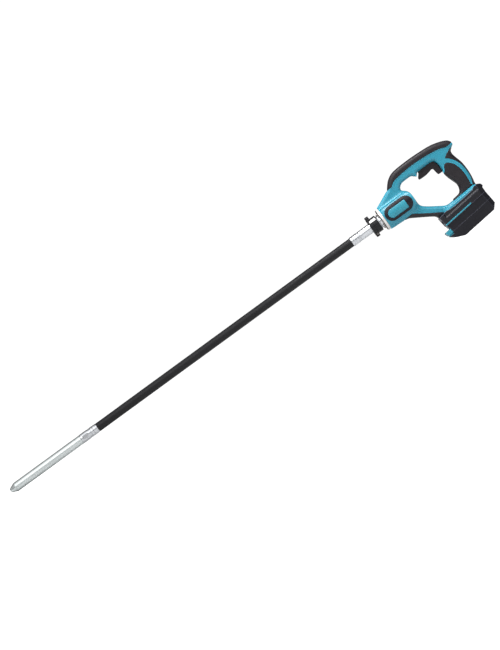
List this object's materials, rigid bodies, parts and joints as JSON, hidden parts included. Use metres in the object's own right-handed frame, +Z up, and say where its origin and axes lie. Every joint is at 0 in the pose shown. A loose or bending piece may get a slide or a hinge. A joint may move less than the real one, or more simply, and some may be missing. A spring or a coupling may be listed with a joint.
{
  "type": "cordless concrete vibrator",
  "caption": "Cordless concrete vibrator: battery drive unit with a D-shaped two-handed frame, straight rubber hose with a spinning core, and a slim steel vibrating head.",
  "frame": {"origin": "on the ground, below the middle of the tool's length: the tool stands on the shoulder of its head and on the lower front edge of its battery, which is its bounding box's bottom centre", "axes": "+Z up; +X from the vibrating head towards the handle and battery; Y across, with the tool's left side at -Y. The drive axis rises 6.29 degrees towards +X"},
  "size_m": [1.4072, 0.0778, 0.2385],
  "materials": {
    "teal_plastic": "moulded, fine satin grain",
    "grip_rubber": "soft overmoulding, matt",
    "black_plastic": "moulded, fine grain",
    "battery_plastic": "moulded, fine grain",
    "teal_accent": "smooth inlay",
    "badge_plastic": "smooth, satin",
    "cast_aluminium": "cast, bead blasted",
    "satin_steel": "turned, satin",
    "worn_steel": "turned, lightly worn by concrete",
    "screw_steel": "zinc plated",
    "hose_rubber": "matt, with a faint wrapped texture",
    "collar_plastic": "moulded nylon",
    "bearing_steel": "ground",
    "dark_steel": "phosphated",
    "lamination_steel": "stacked sheet",
    "magnet": "sintered",
    "copper": "enamelled copper wire and bars",
    "insulator": "phenolic",
    "carbon": "carbon graphite",
    "switch_plastic": "moulded",
    "trigger_plastic": "moulded, satin",
    "spring_steel": "bright wire",
    "wire_sleeve": "flexible sleeve",
    "cell_sleeve": "shrink sleeve",
    "seal_rubber": "nitrile"
  },
  "bodies": {
    "drive_unit": {"housing_left": "teal_plastic", "housing_right": "teal_plastic", "top_grip_left": "grip_rubber", "top_grip_right": "grip_rubber", "side_grip_left": "grip_rubber", "side_grip_right": "grip_rubber", "rear_spine": "grip_rubber", "strut_strip_left": "grip_rubber", "strut_strip_right": "grip_rubber", "foot_cover_left": "black_plastic", "foot_cover_right": "black_plastic", "accent_stripe_left": "teal_accent", "accent_stripe_right": "teal_accent", "badge_ring_left": "badge_plastic", "badge_ring_right": "badge_plastic", "name_plate_left": "teal_accent", "name_plate_right": "teal_accent", "housing_screws": "screw_steel", "front_flange": "cast_aluminium", "flange_screws": "screw_steel", "hanger_collar": "collar_plastic", "collar_bolt": "screw_steel", "neck": "cast_aluminium", "coupling_tube": "satin_steel", "upper_ferrule": "satin_steel", "hose_1": "hose_rubber", "motor_can": "dark_steel", "magnets": "magnet", "motor_bearings": "bearing_steel", "brush_holder": "insulator", "carbon_brushes": "carbon", "switch_body": "switch_plastic", "trigger_spring": "spring_steel", "terminal_block": "insulator", "leads": "wire_sleeve"},
    "trigger": {"trigger": "trigger_plastic"},
    "battery": {"battery_case_upper": "battery_plastic", "battery_case_lower": "battery_plastic", "battery_cells": "cell_sleeve", "button_spring": "spring_steel"},
    "release_button": {"battery_button": "teal_accent"},
    "hose_second": {"hose_2": "hose_rubber"},
    "hose_third": {"hose_3": "hose_rubber"},
    "vibrating_head": {"hose_4": "hose_rubber", "lower_ferrule": "satin_steel", "head_connector": "satin_steel", "head_tube": "worn_steel", "nose_cap": "worn_steel", "head_bearings": "bearing_steel", "oil_seal": "seal_rubber"},
    "drive_rotor": {"armature": "lamination_steel", "armature_windings": "copper", "commutator": "copper", "motor_shaft": "bearing_steel", "fan": "switch_plastic", "core_1": "dark_steel"},
    "core_second": {"core_2": "dark_steel"},
    "core_third": {"core_3": "dark_steel"},
    "head_rotor": {"core_4": "dark_steel", "eccentric_rotor": "dark_steel"}
  },
  "joints": [
    {"name": "trigger_pull", "type": "slide", "parent": "drive_unit", "child": "trigger", "axis": [0.4982, 0, 0.867], "range_m": [0, 0.005], "stiffness_N_per_m": 900, "springref_m": -0.006},
    {"name": "battery_slide", "type": "slide", "parent": "drive_unit", "child": "battery", "axis": [-0.9771, 0, -0.2128], "range_m": [0, 0.128]},
    {"name": "release_button_press", "type": "slide", "parent": "battery", "child": "release_button", "axis": [0.2128, 0, -0.9771], "range_m": [0, 0.003], "stiffness_N_per_m": 1200, "springref_m": -0.003},
    {"name": "hose_bend_upper", "type": "hinge", "parent": "drive_unit", "child": "hose_second", "pos_m": [0.15027, 0, 0.10408], "axis": [0, 1, 0], "range_deg": [-18, 18], "stiffness_Nm_per_rad": 120},
    {"name": "hose_bend_middle", "type": "hinge", "parent": "hose_second", "child": "hose_third", "pos_m": [-0.04505, 0, 0.08256], "axis": [0, 1, 0], "range_deg": [-18, 18], "stiffness_Nm_per_rad": 120},
    {"name": "hose_bend_lower", "type": "hinge", "parent": "hose_third", "child": "vibrating_head", "pos_m": [-0.24036, 0, 0.06104], "axis": [0, 1, 0], "range_deg": [-18, 18], "stiffness_Nm_per_rad": 120},
    {"name": "motor_spin", "type": "hinge", "parent": "drive_unit", "child": "drive_rotor", "pos_m": [0.48674, 0, 0.14115], "axis": [0.994, 0, 0.1095], "continuous": true},
    {"name": "core_spin_second", "type": "hinge", "parent": "hose_second", "child": "core_second", "pos_m": [0.05261, 0, 0.09332], "axis": [0.994, 0, 0.1095], "continuous": true},
    {"name": "core_spin_third", "type": "hinge", "parent": "hose_third", "child": "core_third", "pos_m": [-0.14271, 0, 0.0718], "axis": [0.994, 0, 0.1095], "continuous": true},
    {"name": "head_spin", "type": "hinge", "parent": "vibrating_head", "child": "head_rotor", "pos_m": [-0.58677, 0, 0.02288], "axis": [0.994, 0, 0.1095], "continuous": true}
  ],
  "couplings": [
    {"joint": "hose_bend_middle", "follows": "hose_bend_upper", "ratio": 1},
    {"joint": "hose_bend_lower", "follows": "hose_bend_upper", "ratio": 1},
    {"joint": "core_spin_second", "follows": "motor_spin", "ratio": 1},
    {"joint": "core_spin_third", "follows": "motor_spin", "ratio": 1},
    {"joint": "head_spin", "follows": "motor_spin", "ratio": 1}
  ]
}
